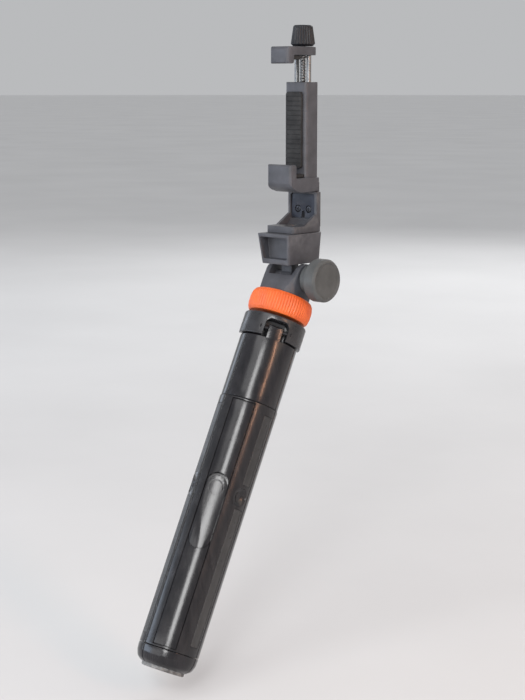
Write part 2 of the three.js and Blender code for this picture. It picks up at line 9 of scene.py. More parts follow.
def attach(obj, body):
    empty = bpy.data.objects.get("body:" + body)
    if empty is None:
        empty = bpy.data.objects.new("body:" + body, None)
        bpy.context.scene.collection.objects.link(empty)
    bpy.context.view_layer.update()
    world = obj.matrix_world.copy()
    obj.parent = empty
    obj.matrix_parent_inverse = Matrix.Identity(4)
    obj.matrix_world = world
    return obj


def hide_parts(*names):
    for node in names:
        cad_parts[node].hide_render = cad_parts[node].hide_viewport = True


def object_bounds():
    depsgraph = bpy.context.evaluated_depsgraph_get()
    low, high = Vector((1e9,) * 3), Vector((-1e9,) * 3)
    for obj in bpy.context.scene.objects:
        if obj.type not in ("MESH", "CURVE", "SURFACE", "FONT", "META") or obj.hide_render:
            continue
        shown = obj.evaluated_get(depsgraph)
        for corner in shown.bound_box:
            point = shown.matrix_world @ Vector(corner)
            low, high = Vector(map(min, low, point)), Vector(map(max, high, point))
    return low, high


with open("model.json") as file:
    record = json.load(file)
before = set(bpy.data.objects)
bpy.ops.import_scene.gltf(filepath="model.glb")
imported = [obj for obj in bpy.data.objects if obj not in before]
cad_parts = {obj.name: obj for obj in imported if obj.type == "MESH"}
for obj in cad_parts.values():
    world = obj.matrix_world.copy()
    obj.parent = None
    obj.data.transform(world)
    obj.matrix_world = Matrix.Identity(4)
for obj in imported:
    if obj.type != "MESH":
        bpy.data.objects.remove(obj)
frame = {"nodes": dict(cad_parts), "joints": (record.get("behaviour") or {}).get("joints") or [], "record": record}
cad_box = [[float(v) for v in corner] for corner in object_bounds()]
nodes = frame["nodes"]
joints = {joint["name"]: joint for joint in frame["joints"]}
mounts = {mount["name"]: mount for mount in frame["record"]["mounts"]}
scene = bpy.context.scene

# ------------------------------------------------------------------ places
# Pieces are drawn in millimetres in the frame they belong to, then placed in the row's frame.

MM = 0.001
pivot = Vector(joints["head_tilt"]["pos_m"])
axis = Vector(joints["neck_swivel"]["axis"]).normalized()
feet = axis * axis.dot(Vector(mounts["foot_front_face"]["pos_m"]))
leaning = Matrix((Vector((1, 0, 0)), axis.cross(Vector((1, 0, 0))), axis)).transposed().to_4x4()
HANDLE = Matrix.Translation(feet) @ leaning @ Matrix.Scale(MM, 4)
NECK = Matrix.Translation(pivot) @ leaning @ Matrix.Scale(MM, 4)
HEAD = Matrix.Translation(pivot) @ Matrix.Scale(MM, 4)
LEG_TURN = {"front": 48, "right": 168, "left": 288}
FACE_TURN = -17  # degrees from a leg's middle to its inlay strip or remote


def leg_place(side):
    return HANDLE @ Matrix.Rotation(math.radians(LEG_TURN[side]), 4, "Z")


def face_place(side):
    """The inlay's and remote's own direction, turned from the middle of the leg."""
    return leg_place(side) @ Matrix.Rotation(math.radians(FACE_TURN), 4, "Z")


def node_span(node, place):
    """Lowest and highest corner of a CAD node in one of the local frames, in millimetres."""
    back = place.inverted()
    points = [back @ v.co for v in nodes[node].data.vertices]
    return (Vector(min(p[i] for p in points) for i in range(3)),
            Vector(max(p[i] for p in points) for i in range(3)))


# ------------------------------------------------------------------ mesh building

def mesh_from(verts, faces):
    mesh = bpy.data.meshes.new("piece")
    mesh.from_pydata([tuple(v) for v in verts], [], faces)
    bm = bmesh.new()
    bm.from_mesh(mesh)
    bmesh.ops.remove_doubles(bm, verts=bm.verts, dist=1e-5)
    bmesh.ops.recalc_face_normals(bm, faces=bm.faces)
    bm.to_mesh(mesh)
    bm.free()
    return mesh


def fillet(points, radii, closed=True, steps=5):
    """The corners of a 2-D outline rounded, each by its own radius or all by one."""
    count = len(points)
    if not isinstance(radii, (list, tuple)):
        radii = [radii] * count
    out = []
    for i, (point, radius) in enumerate(zip(points, radii)):
        here = Vector(point)
        if radius <= 0 or (not closed and i in (0, count - 1)):
            out.append(here)
            continue
        back = Vector(points[i - 1]) - here
        ahead = Vector(points[(i + 1) % count]) - here
        turn = back.angle(ahead)
        if turn > math.pi - 0.03:
            out.append(here)
            continue
        reach = min(radius / math.tan(turn / 2), 0.48 * back.length, 0.48 * ahead.length)
        round_radius = reach * math.tan(turn / 2)
        middle = (back.normalized() + ahead.normalized()).normalized()
        centre = here + middle * (round_radius / math.sin(turn / 2))
        start = here + back.normalized() * reach - centre
        stop = here + ahead.normalized() * reach - centre
        sweep = start.angle_signed(stop)
        for k in range(steps + 1):
            out.append(centre + Matrix.Rotation(-sweep * k / steps, 2) @ start)
    return [tuple(v) for v in out]


def lathe(profile, steps, wave=None):
    """A profile of (radius, height) turned about Z: a ring if it keeps off the axis."""
    ring_like = profile[0][0] > 1e-6 and profile[-1][0] > 1e-6
    verts, rows = [], []
    for radius, z in profile:
        count = steps if radius > 1e-6 else 1
        rows.append(range(len(verts), len(verts) + count))
        for k in range(count):
            angle = math.tau * k / steps
            r = radius + (wave(angle, radius, z) if wave else 0)
            verts.append((r * math.cos(angle), r * math.sin(angle), z))
    faces = []
    for low, high in zip(rows, rows[1:] + (rows[:1] if ring_like else [])):
        for k in range(steps):
            n = (k + 1) % steps
            quad = [low[k % len(low)], low[n % len(low)], high[n % len(high)], high[k % len(high)]]
            corners = list(dict.fromkeys(quad))
            if len(corners) > 2:
                faces.append(corners)
    return mesh_from(verts, faces)


PLANES = {
    "z": lambda u, v, w: (u, v, w),  # an outline in X and Y
    "x": lambda u, v, w: (w, u, v),  # an outline in Y and Z
    "y": lambda u, v, w: (u, w, v),  # an outline in X and Z
}


def prism(outline, low, high, along="z"):
    where = PLANES[along]
    count = len(outline)
    verts = [where(u, v, w) for w in (low, high) for u, v in outline]
    faces = [list(range(count)), list(range(count, 2 * count))]
    faces += [[k, (k + 1) % count, count + (k + 1) % count, count + k] for k in range(count)]
    return mesh_from(verts, faces)


def loft(sections):
    """Outlines of equal point counts, each (height, outline), joined into one solid along Z."""
    count = len(sections[0][1])
    verts = [(u, v, z) for z, outline in sections for u, v in outline]
    faces = [list(range(count)), list(range(len(verts) - count, len(verts)))]
    for level in range(len(sections) - 1):
        a, b = level * count, (level + 1) * count
        faces += [[a + k, a + (k + 1) % count, b + (k + 1) % count, b + k] for k in range(count)]
    return mesh_from(verts, faces)


def block(x0, x1, y0, y1, z0, z1):
    return prism([(x0, y0), (x1, y0), (x1, y1), (x0, y1)], z0, z1)


def rod(radius, low, high, along="z", steps=64, at=(0, 0)):
    circle = [(at[0] + radius * math.cos(math.tau * k / steps),
               at[1] + radius * math.sin(math.tau * k / steps)) for k in range(steps)]
    return prism(circle, low, high, along)


def rounded_rect(u0, u1, v0, v1, *radii):
    low = radii[0]
    high = radii[-1]
    return fillet([(u0, v0), (u1, v0), (u1, v1), (u0, v1)], [low, low, high, high], steps=8)


def mirrored(points):
    return points + [(-u, v) for u, v in reversed(points)]


def moved(mesh, matrix):
    copy = mesh.copy()
    copy.transform(matrix)
    return copy


def temporary(mesh):
    thing = bpy.data.objects.new("temporary", mesh)
    scene.collection.objects.link(thing)
    return thing


def evaluated(thing, others=()):
    graph = bpy.context.evaluated_depsgraph_get()
    mesh = bpy.data.meshes.new_from_object(thing.evaluated_get(graph))
    for old in (thing, *others):
        bpy.data.objects.remove(old)
    return mesh


def combine(operation, first, others):
    thing = temporary(first)
    helpers = [temporary(mesh) for mesh in others]
    for helper in helpers:
        modifier = thing.modifiers.new("combine", "BOOLEAN")
        modifier.operation = operation
        modifier.solver = "EXACT"
        modifier.object = helper
    return evaluated(thing, helpers)


def join(first, *others):
    return combine("UNION", first, others)


def cut(first, *others):
    return combine("DIFFERENCE", first, others)


def common(first, *others):
    return combine("INTERSECT", first, others)


ROUND_SEGMENTS, ROUND_ANGLE = 3, 38


def softened(mesh, width, clamp=False, flat=0.6):
    """Faces within the flat angle merged, then every edge sharper than ROUND_ANGLE rounded.

    What the rounding leaves doubled or without length is cleaned away if the solid stays closed.
    """
    bm = bmesh.new()
    bm.from_mesh(mesh)
    bmesh.ops.remove_doubles(bm, verts=bm.verts, dist=0.004)
    bmesh.ops.dissolve_limit(bm, angle_limit=math.radians(flat), verts=bm.verts, edges=bm.edges)
    bm.to_mesh(mesh)
    bm.free()
    thing = temporary(mesh)
    modifier = thing.modifiers.new("round", "BEVEL")
    modifier.width = width
    modifier.segments = ROUND_SEGMENTS
    modifier.limit_method = "ANGLE"
    modifier.angle_limit = math.radians(ROUND_ANGLE)
    modifier.use_clamp_overlap = clamp
    modifier.miter_outer = "MITER_ARC"
    rounded = evaluated(thing)
    bm = bmesh.new()
    bm.from_mesh(rounded)
    bmesh.ops.remove_doubles(bm, verts=bm.verts, dist=0.001)
    bmesh.ops.dissolve_degenerate(bm, edges=bm.edges, dist=0.0005)
    if all(edge.is_manifold for edge in bm.edges) and all(vert.link_faces for vert in bm.verts):
        bm.to_mesh(rounded)
    bm.free()
    return rounded


def lines(low, high, step, *features):
    """Grid lines from low to high, closer together near each (place, radius) feature."""
    count = max(2, round((high - low) / step))
    marks = {round(low + (high - low) * k / count, 4) for k in range(count + 1)}
    for where, radius in features:
        for share in (-1, -0.75, -0.5, -0.28, -0.1, 0, 0.1, 0.28, 0.5, 0.75, 1):
            mark = where + share * radius
            if low <= mark <= high:
                marks.add(round(mark, 4))
    return sorted(marks)


def skin(outer, inner, turns, heights):
    """A shell whose outer and inner radius depend on the turn from -Y and on the height."""
    verts, grid = [], []
    for radius_at in (outer, inner):
        rows = []
        for z in heights:
            row = []
            for turn in turns:
                angle = math.radians(turn)
                radius = radius_at(turn, z)
                row.append(len(verts))
                verts.append((radius * math.sin(angle), -radius * math.cos(angle), z))
            rows.append(row)
        grid.append(rows)
    faces = []
    for rows, order in ((grid[0], 1), (grid[1], -1)):
        for low, high in zip(rows, rows[1:]):
            for k in range(len(turns) - 1):
                faces.append([low[k], low[k + 1], high[k + 1], high[k]][::order])
    for end, order in ((0, -1), (-1, 1)):
        out, into = grid[0][end], grid[1][end]
        for k in range(len(turns) - 1):
            faces.append([out[k], out[k + 1], into[k + 1], into[k]][::order])
    for side, order in ((0, 1), (-1, -1)):
        for j in range(len(heights) - 1):
            faces.append([grid[0][j][side], grid[0][j + 1][side],
                          grid[1][j + 1][side], grid[1][j][side]][::order])
    return mesh_from(verts, faces)


def smooth(low, high, value):
    t = min(1, max(0, (value - low) / (high - low)))
    return t * t * (3 - 2 * t)


def round_off(distance, radius):
    """How far a rounded edge has fallen away at a distance from the border."""
    if distance >= radius:
        return 0
    reach = radius - max(0, distance)
    return radius - math.sqrt(max(0, radius * radius - reach * reach))


def pill_distance(x, z, half, low, high):
    """Signed distance to a pill outline: negative inside it."""
    middle = min(max(z, low + half), high - half)
    return math.hypot(x, z - middle) - half


# ------------------------------------------------------------------ materials

def node_material(name):
    material = bpy.data.materials.new(name)
    material.use_nodes = True
    tree = material.node_tree
    shader = tree.nodes["Principled BSDF"]
    return material, tree, shader


class Builder:
    """Small helper that adds linked shader nodes to one material."""

    def __init__(self, name):
        self.material, self.tree, self.shader = node_material(name)
        self.where = self.add("ShaderNodeTexCoord").outputs["Object"]

    def add(self, kind, **settings):
        node = self.tree.nodes.new(kind)
        for key, value in settings.items():
            setattr(node, key, value)
        return node

    def link(self, source, target):
        self.tree.links.new(source, target)

    def noise(self, scale, detail, rough=0.5, stretch=None):
        node = self.add("ShaderNodeTexNoise")
        node.inputs["Scale"].default_value = scale
        node.inputs["Detail"].default_value = detail
        node.inputs["Roughness"].default_value = rough
        source = self.where
        if stretch:
            mapping = self.add("ShaderNodeMapping")
            mapping.inputs["Rotation"].default_value = (math.atan2(axis.y, axis.z), 0, 0)
            mapping.inputs["Scale"].default_value = stretch
            self.link(source, mapping.inputs["Vector"])
            source = mapping.outputs["Vector"]
        self.link(source, node.inputs["Vector"])
        return node.outputs["Fac"]

    def ramp(self, value, low, high, out_low=0.0, out_high=1.0):
        node = self.add("ShaderNodeMapRange")
        node.inputs["From Min"].default_value = low
        node.inputs["From Max"].default_value = high
        node.inputs["To Min"].default_value = out_low
        node.inputs["To Max"].default_value = out_high
        self.link(value, node.inputs["Value"])
        return node.outputs["Result"]

    def mix(self, share, first, second):
        node = self.add("ShaderNodeMix", data_type="RGBA")
        self.link(share, node.inputs["Factor"])
        for socket, colour in (("A", first), ("B", second)):
            target = [s for s in node.inputs if s.name == socket and s.type == "RGBA"][0]
            if isinstance(colour, tuple):
                target.default_value = (*colour, 1)
            else:
                self.link(colour, target)
        return [s for s in node.outputs if s.type == "RGBA"][0]

    def edges(self):
        """High on outward edges, where hands rub."""
        node = self.add("ShaderNodeNewGeometry")
        return self.ramp(node.outputs["Pointiness"], 0.52, 0.6)

    def times(self, first, second):
        node = self.add("ShaderNodeMath", operation="MULTIPLY")
        self.link(first, node.inputs[0])
        self.link(second, node.inputs[1])
        return node.outputs[0]

    def bump(self, height, strength, distance, under=None):
        node = self.add("ShaderNodeBump")
        node.inputs["Strength"].default_value = strength
        node.inputs["Distance"].default_value = distance
        self.link(height, node.inputs["Height"])
        if under:
            self.link(under, node.inputs["Normal"])
        return node.outputs["Normal"]

    def finish(self, colour=None, roughness=None, normal=None, **fixed):
        for value, socket in ((colour, "Base Color"), (roughness, "Roughness"), (normal, "Normal")):
            if value is not None:
                self.link(value, self.shader.inputs[socket])
        for name, value in fixed.items():
            self.shader.inputs[name.replace("_", " ")].default_value = value
        return self.material


def moulded(name, dark, light, worn, rough, grain=2600, strength=0.25, wear=0.5, **fixed):
    """Spark-eroded matte plastic: mottled colour, fine grain and paler rubbed edges."""
    b = Builder(name)
    mottle = b.ramp(b.noise(70, 5, 0.62), 0.3, 0.72)
    body = b.mix(mottle, dark, light)
    rubbed = b.times(b.edges(), b.ramp(b.noise(260, 4), 0.35, 0.7, 0.0, wear))
    colour = b.mix(rubbed, body, worn)
    roughness = b.ramp(b.noise(180, 4, 0.6), 0.25, 0.75, rough - 0.09, rough + 0.1)
    grain_normal = b.bump(b.noise(grain, 2), strength, 0.00006)
    normal = b.bump(b.noise(320, 3), 0.2, 0.00012, grain_normal)
    return b.finish(colour, roughness, normal, **fixed)


def glossy(name, dark, light, low, high, scratches=0.35):
    """Polished black plastic: faint streaks along the handle, handling marks and a clear coat."""
    b = Builder(name)
    streaks = b.noise(60, 5, 0.6, (3.2, 3.2, 0.16))
    hairs = b.noise(900, 2, 0.5, (3.0, 3.0, 0.05))
    smears = b.noise(38, 6, 0.66)
    colour = b.mix(b.ramp(streaks, 0.32, 0.72), dark, light)
    marks = b.times(b.ramp(smears, 0.35, 0.75), b.ramp(hairs, 0.3, 0.8))
    roughness = b.ramp(b.times(marks, b.ramp(streaks, 0.3, 0.7, 0.2, 1.0)), 0, 0.6, low, high)
    wave = b.bump(b.noise(26, 2, 0.4), 0.16, 0.0009)
    normal = b.bump(hairs, scratches, 0.00003, wave)
    return b.finish(colour, roughness, normal, Coat_Weight=0.12, Coat_Roughness=0.14,
                    Specular_IOR_Level=0.38)


def rubber(name, dark, light, rough):
    b = Builder(name)
    dusty = b.ramp(b.noise(120, 5, 0.65), 0.4, 0.75)
    colour = b.mix(dusty, dark, light)
    roughness = b.ramp(b.noise(300, 3), 0.3, 0.7, rough - 0.08, rough + 0.1)
    normal = b.bump(b.noise(1500, 3), 0.4, 0.0001)
    return b.finish(colour, roughness, normal)


def metal(name, dark, light, low, high, stretch=None):
    b = Builder(name)
    brushed = b.noise(700, 3, 0.5, stretch)
    colour = b.mix(b.ramp(b.noise(90, 4), 0.3, 0.7), dark, light)
    roughness = b.ramp(brushed, 0.25, 0.75, low, high)
    normal = b.bump(brushed, 0.12, 0.00003)
    return b.finish(colour, roughness, normal, Metallic=1.0)


looks = {
    "head": moulded("head_plastic", (0.038, 0.039, 0.046), (0.074, 0.076, 0.088), (0.14, 0.14, 0.15), 0.55),
    # knob: a lighter copy of the head plastic, painted light on the tilt handwheel
    "knob": moulded("knob_painted_light_plastic", (0.050, 0.053, 0.053), (0.092, 0.096, 0.097), (0.16, 0.16, 0.16), 0.6),
    "dark_head": moulded("dark_head_plastic", (0.010, 0.011, 0.014), (0.022, 0.023, 0.028),
                         (0.08, 0.08, 0.085), 0.5, Specular_IOR_Level=0.35),
    # panel: the head plastic made darker and bluer, painted shade that the phone and upper jaw cast on the bracket
    # panel
    "panel": moulded("panel_painted_shade_plastic", (0.014, 0.017, 0.026), (0.027, 0.031, 0.046), (0.08, 0.08, 0.09), 0.5,
                     Specular_IOR_Level=0.3),
    "bracket": moulded("bracket_plastic", (0.031, 0.031, 0.036), (0.060, 0.061, 0.070),
                       (0.13, 0.13, 0.135), 0.57),
    "collar": moulded("collar_plastic", (0.016, 0.016, 0.018), (0.030, 0.030, 0.034),
                      (0.09, 0.09, 0.095), 0.28, strength=0.15),
    "orange": moulded("orange_plastic", (0.58, 0.078, 0.014), (0.76, 0.155, 0.028), (0.90, 0.33, 0.11), 0.42,
                      grain=1800, strength=0.2, wear=0.65),
    "handle": glossy("handle_plastic", (0.007, 0.007, 0.009), (0.018, 0.017, 0.020), 0.2, 0.38),
    "gloss": glossy("polished_plastic", (0.006, 0.006, 0.008), (0.015, 0.014, 0.016), 0.18, 0.34, 0.25),
    "strip": moulded("strip_plastic", (0.020, 0.020, 0.021), (0.045, 0.045, 0.046), (0.09, 0.09, 0.09), 0.34,
                     grain=1400, strength=0.4, wear=0.1),
    "grip": glossy("grip_plastic", (0.008, 0.008, 0.010), (0.022, 0.021, 0.023), 0.2, 0.4),
    # dark steel for the screws; on the leg pins the same darkness is painted shade of the collar notches
    "dark_steel_and_shade": metal("dark_steel_and_pin_shade", (0.03, 0.03, 0.033), (0.07, 0.07, 0.075), 0.3, 0.5),
    "foot": rubber("foot_rubber", (0.07, 0.07, 0.072), (0.34, 0.34, 0.335), 0.6),
    "pad": rubber("pad_rubber", (0.012, 0.012, 0.013), (0.03, 0.03, 0.031), 0.85),
    "tube": metal("anodised_tube", (0.022, 0.022, 0.025), (0.04, 0.04, 0.044), 0.24, 0.4, (3, 3, 0.1)),
    "steel": metal("nickel_steel", (0.16, 0.165, 0.17), (0.27, 0.27, 0.27), 0.34, 0.55),
    "brass": metal("turned_brass", (0.42, 0.27, 0.08), (0.6, 0.42, 0.16), 0.25, 0.45),
    "nylon": rubber("nylon", (0.5, 0.49, 0.46), (0.62, 0.61, 0.58), 0.5),
}

KEEP = {  # CAD nodes whose shape stays, and the look each gets
    # the leg pins' dark steel is painted shade of the notches around them
    "dark_steel_and_shade": ["leg_pin_front", "leg_pin_right", "leg_pin_left"],
    "steel": ["swivel_screw", "screw_clip"],
    "brass": ["knob_insert", "screw_nut"],
    "head": ["tilt_spacer_right", "tilt_spacer_left"],
    "nylon": ["bush_2", "bush_3", "bush_4", "bush_5", "lock_collet"],
}
for look, members in KEEP.items():
    for node in members:
        nodes[node].data.materials.clear()
        nodes[node].data.materials.append(looks[look])


def piece(name, mesh, place, body, look, slot, *stands_for, sharp=32):
    """Places a finished mesh as one named piece that stands for CAD nodes and rides on a body."""
    mesh.transform(place)
    mesh.materials.clear()
    mesh.materials.append(looks[look])
    mesh.shade_smooth()
    mesh.set_sharp_from_angle(angle=math.radians(sharp))
    made = bpy.data.objects.new(name, mesh)
    mesh.name = name
    scene.collection.objects.link(made)
    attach(made, body)
    if stands_for:
        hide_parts(*stands_for)


# ------------------------------------------------------------------ handle: sizes from the frame

front_leg = leg_place("front")
GAP = 0.3
SIDE = 59.1  # half a leg's turn, in degrees
GRIP_LOW = node_span("grip_front", front_leg)[0].z
GRIP_TOP = node_span("grip_front", front_leg)[1].z
COLLAR_LOW, COLLAR_TOP = (corner.z for corner in node_span("leg_collar", HANDLE))
RING_LOW, RING_TOP = (corner.z for corner in node_span("lock_ring", HANDLE))
REMOTE_LOW, REMOTE_TOP = (corner.z for corner in node_span("remote_body", front_leg))
SHELL_TOP = COLLAR_LOW - 2 * GAP
UPPER_RADIUS = 18.65
GRIP_RADIUS = 19.05
CORE_RADIUS = 16.5
INNER_RADIUS = 9.6
CHANNEL_HALF, CHANNEL_FLOOR = 7.5, 17.7
INLAY_HALF, INLAY_FACE, INLAY_BACK = 7.2, 18.9, 18.0
REMOTE_HALF, REMOTE_FACE, REMOTE_BACK = 6.9, 18.8, 14.3
HINGE_RADIUS, HINGE_HEIGHT = 16.4, 221.4
DIMPLE_TURN, DIMPLE_HALF, DIMPLE_LOW, DIMPLE_TOP = 37, 5.3, 109, 120.6
DIMPLE_MIDDLE = (DIMPLE_LOW + DIMPLE_TOP) / 2
STRIP_IN, STRIP_OUT, STRIP_DEEP = 32, 54, 0.5
STRIP_LOW, STRIP_TOP, STRIP_BREAK = 19, 168.3, 7.6
KNURL_PITCH, KNURL_DEEP = 1.9, 0.17
POCKET_RADIUS, POCKET_HALF, POCKET_LOW, POCKET_TOP = 12.7, 42, 24, 162
PIN_BORE = 1.5
TONGUE_HALF = 4.8
CHANNEL_END = 1.2  # plain grip above and below the inlay's channel
TREAD_TOP, CAP_LOW, CAP_TOP, FOOT_CORE = 2.4, 2.45, 13, 2.5


def remote_hole(gap, back):
    outline = rounded_rect(-REMOTE_HALF - gap, REMOTE_HALF + gap, REMOTE_LOW - gap, REMOTE_TOP + gap,
                           REMOTE_HALF + gap - 0.05)
    return prism(outline, -21, -back, "y")


def on_face(mesh):
    return moved(mesh, Matrix.Rotation(math.radians(FACE_TURN), 4, "Z"))


def turn_of(x, radius):
    return math.degrees(math.asin(x / radius))


def leg_shell(side):
    """The leg's own moulding: the plain barrel at the top and the core that the grip wraps."""
    step = GRIP_TOP + GAP

    def outer(turn, z):
        if z < step:
            return CORE_RADIUS
        lateral = UPPER_RADIUS * math.radians(SIDE - abs(turn))
        fall = round_off(z - step, 0.35) + round_off(SHELL_TOP - z, 0.7) + round_off(lateral, 0.45)
        return UPPER_RADIUS - fall

    def inner(turn, z):
        pocket = abs(turn) < POCKET_HALF and POCKET_LOW < z < POCKET_TOP
        return POCKET_RADIUS if pocket else INNER_RADIUS

    turns = lines(-SIDE, SIDE, 1.5, (-SIDE, 1.4), (SIDE, 1.4), (-POCKET_HALF, 0.01), (POCKET_HALF, 0.01))
    heights = lines(GRIP_LOW, SHELL_TOP, 12, (step, 0.35), (SHELL_TOP, 0.7), (POCKET_LOW, 0.01),
                    (POCKET_TOP, 0.01))
    heights = sorted(set(heights) | {round(step - 0.01, 4)})
    shell = skin(outer, inner, turns, heights)
    return cut(shell, on_face(remote_hole(GAP, REMOTE_BACK - GAP))) if side == "front" else shell


def leg_knuckle():
    """The tongue at the top of a leg that turns on its pin."""
    tongue_side = fillet([(-18.7, SHELL_TOP - 7), (-13.8, SHELL_TOP - 7), (-13.8, HINGE_HEIGHT + 2.6),
                          (-19, HINGE_HEIGHT + 2.6)], [0, 0, 2.4, 2.4], steps=8)
    tongue = common(prism(tongue_side, -TONGUE_HALF, TONGUE_HALF, "x"),
                    rod(UPPER_RADIUS - 0.05, 190, 240, steps=180))
    bore = rod(PIN_BORE, -9, 9, "x", 32, (-HINGE_RADIUS, HINGE_HEIGHT))
    return softened(cut(tongue, bore), 0.35)


def grip_sleeve(side):
    """The proud sleeve with its inlay channel, knurled side strip and finger dimple."""
    low, high = GRIP_LOW + CHANNEL_END, GRIP_TOP - CHANNEL_END

    def outer(turn, z):
        x = GRIP_RADIUS * math.sin(math.radians(turn - FACE_TURN))
        lateral = GRIP_RADIUS * math.radians(SIDE - abs(turn))
        radius = GRIP_RADIUS - round_off(lateral, 0.5)
        radius -= round_off(z - GRIP_LOW, 0.4) + round_off(GRIP_TOP - z, 0.4)
        inside = min(CHANNEL_HALF - abs(x), z - low, high - z)
        radius -= (GRIP_RADIUS - CHANNEL_FLOOR) * smooth(-0.12, 0.1, inside)
        strip = min(turn - STRIP_IN, STRIP_OUT - turn, (z - STRIP_LOW) * 3, (STRIP_TOP - z) * 3,
                    (abs(z - DIMPLE_MIDDLE) - STRIP_BREAK) * 3)
        radius -= STRIP_DEEP * smooth(-0.15, 0.15, strip)
        aside = GRIP_RADIUS * math.radians(turn - DIMPLE_TURN)
        dimple = pill_distance(aside, z, DIMPLE_HALF, DIMPLE_LOW, DIMPLE_TOP)
        radius -= 0.5 * smooth(0.1, -0.15, dimple) + 1.9 * smooth(0, -4.2, dimple)
        return radius

    x_edge = turn_of(CHANNEL_HALF, GRIP_RADIUS)
    turns = set(lines(-SIDE, SIDE, 1.0, (-SIDE, 1.5), (SIDE, 1.5), (FACE_TURN - x_edge, 0.5),
                      (FACE_TURN + x_edge, 0.5)))
    for edge in (STRIP_IN, STRIP_OUT):
        turns |= set(lines(edge - 0.3, edge + 0.3, 0.15))
    turns = sorted(turns | set(lines(DIMPLE_TURN - 17, DIMPLE_TURN + 17, 0.45)))
    breaks = (DIMPLE_MIDDLE - STRIP_BREAK, DIMPLE_MIDDLE + STRIP_BREAK)
    heights = lines(GRIP_LOW, GRIP_TOP, 8, (GRIP_LOW, 0.4), (GRIP_TOP, 0.4), (low, 0.15), (high, 0.15),
                    (STRIP_LOW, 0.1), (STRIP_TOP, 0.1), (breaks[0], 0.1), (breaks[1], 0.1))
    heights = sorted(set(heights) | set(lines(DIMPLE_LOW - 0.4, DIMPLE_TOP + 0.4, 0.35)))
    sleeve = skin(outer, lambda turn, z: CORE_RADIUS + GAP, turns, heights)
    return cut(sleeve, on_face(remote_hole(GAP, 10))) if side == "front" else sleeve


def side_strip(low, high):
    """A finely knurled insert beside the seam between two legs."""
    first, last = STRIP_IN + 0.5, STRIP_OUT - 0.5
    face = GRIP_RADIUS - 0.1

    def outer(turn, z):
        across = face * math.radians(turn - first)
        edge = min(across, face * math.radians(last - turn), z - low, high - z)
        knurl = math.cos(math.tau * (z - low) / KNURL_PITCH) * math.cos(math.tau * across / KNURL_PITCH)
        return face - round_off(edge, 0.25) - KNURL_DEEP * (1 + knurl) * smooth(0.3, 0.7, edge)

    step = math.degrees(KNURL_PITCH / 4 / face)
    heights = sorted(set(lines(low, high, KNURL_PITCH / 4))
                     | set(lines(low, high, 90, (low, 0.25), (high, 0.25))))
    turns = sorted(set(lines(first, last, step)) | set(lines(first, last, 90, (first, 0.7), (last, 0.7))))
    return skin(outer, lambda turn, z: GRIP_RADIUS - STRIP_DEEP + 0.02, turns, heights)


def inlay_strip(node, place, hole):
    low, high = (corner.z for corner in node_span(node, place))
    if hole:
        low, high = (low, REMOTE_LOW + 6.5) if low < REMOTE_LOW else (REMOTE_TOP - 6.5, high)
    half = turn_of(INLAY_HALF, INLAY_FACE)

    def outer(turn, z):
        lateral = INLAY_FACE * math.radians(half - abs(turn))
        return INLAY_FACE - round_off(min(lateral, z - low, high - z), 0.3)

    turns = lines(-half, half, 1.2, (-half, 1), (half, 1))
    strip = skin(outer, lambda turn, z: INLAY_BACK, turns, lines(low, high, 8, (low, 0.3), (high, 0.3)))
    return cut(strip, remote_hole(GAP, 10)) if hole else strip


FOOT_PROFILE = fillet([(0, 13.1), (0.5, 13.6), (2.4, 13.6), (2.4, 14.6), (4.4, 17.4), (8.2, 18.8),
                       (11.4, 19.05), (13, 19.05)], [0, 0.3, 0.2, 0.3, 4, 4, 3, 0], False, 6)


def foot_radius(z):
    for (z0, r0), (z1, r1) in zip(FOOT_PROFILE, FOOT_PROFILE[1:]):
        if z0 <= z <= z1 and z1 > z0:
            return r0 + (r1 - r0) * (z - z0) / (z1 - z0)
    return FOOT_PROFILE[-1][1]


def foot_part(low, high, tread):
    def outer(turn, z):
        radius = foot_radius(z) - round_off(high - z, 0.35)
        lateral = radius * math.radians(SIDE - abs(turn))
        radius -= round_off(lateral, 0.5)
        if tread:
            radius -= 0.3 * (0.5 + 0.5 * math.cos(math.radians(turn * 24))) * smooth(0.1, 0.7, z)
        return radius

    if tread:
        heights = lines(low, high, 0.3)
    else:
        heights = sorted(set(lines(low, high, 0.5, (high, 0.35))) | {TREAD_TOP})
    turns = lines(-SIDE, SIDE, 0.75 if tread else 1.25, (-SIDE, 1.6), (SIDE, 1.6))
    return skin(outer, lambda turn, z: FOOT_CORE, turns, heights)


for side in LEG_TURN:
    place = leg_place(side)
    body = f"leg_{side}"
    piece(f"leg_shell_{side}", leg_shell(side), place, body, "handle", "handle_plastic", f"leg_{side}")
    piece(f"leg_knuckle_{side}", leg_knuckle(), place, body, "handle", "handle_plastic", f"leg_{side}")
    piece(f"grip_sleeve_{side}", grip_sleeve(side), place, body, "grip", "handle_plastic", f"grip_{side}",
          sharp=40)
    for part, low, high in (("lower", STRIP_LOW + GAP, DIMPLE_MIDDLE - STRIP_BREAK - GAP),
                            ("upper", DIMPLE_MIDDLE + STRIP_BREAK + GAP, STRIP_TOP - GAP)):
        piece(f"knurl_strip_{side}_{part}", side_strip(low, high), place, body, "strip", "handle_plastic",
              sharp=60)
    piece(f"foot_cap_{side}", foot_part(CAP_LOW, CAP_TOP, False), place, body, "handle", "black_rubber",
          f"foot_{side}")
    piece(f"foot_pad_{side}", foot_part(0, TREAD_TOP, True), place, body, "foot", "black_rubber",
          f"foot_{side}")
    for node in (name for name in nodes if name.startswith(f"inlay_{side}")):
        face = face_place(side)
        strip = inlay_strip(node, face, side == "front")
        piece(node.replace("inlay", "inlay_strip"), strip, face, body, "gloss", "gloss_plastic", node)

BUTTON_HEIGHT = REMOTE_TOP - 9
FLAT_RADIUS = 40
FLAT_DEPTH = 0.95
FLAT_TURN = 3.7  # the thumb rest looks a little to one side
WELL_RADIUS, BUTTON_RADIUS, BUTTON_BACK = 4.68, 4.62, -17.4


def remote_outline(aside=0, below=0):
    return rounded_rect(-REMOTE_HALF - aside, REMOTE_HALF - aside, REMOTE_LOW - below, REMOTE_TOP - below,
                        REMOTE_HALF - 0.05)


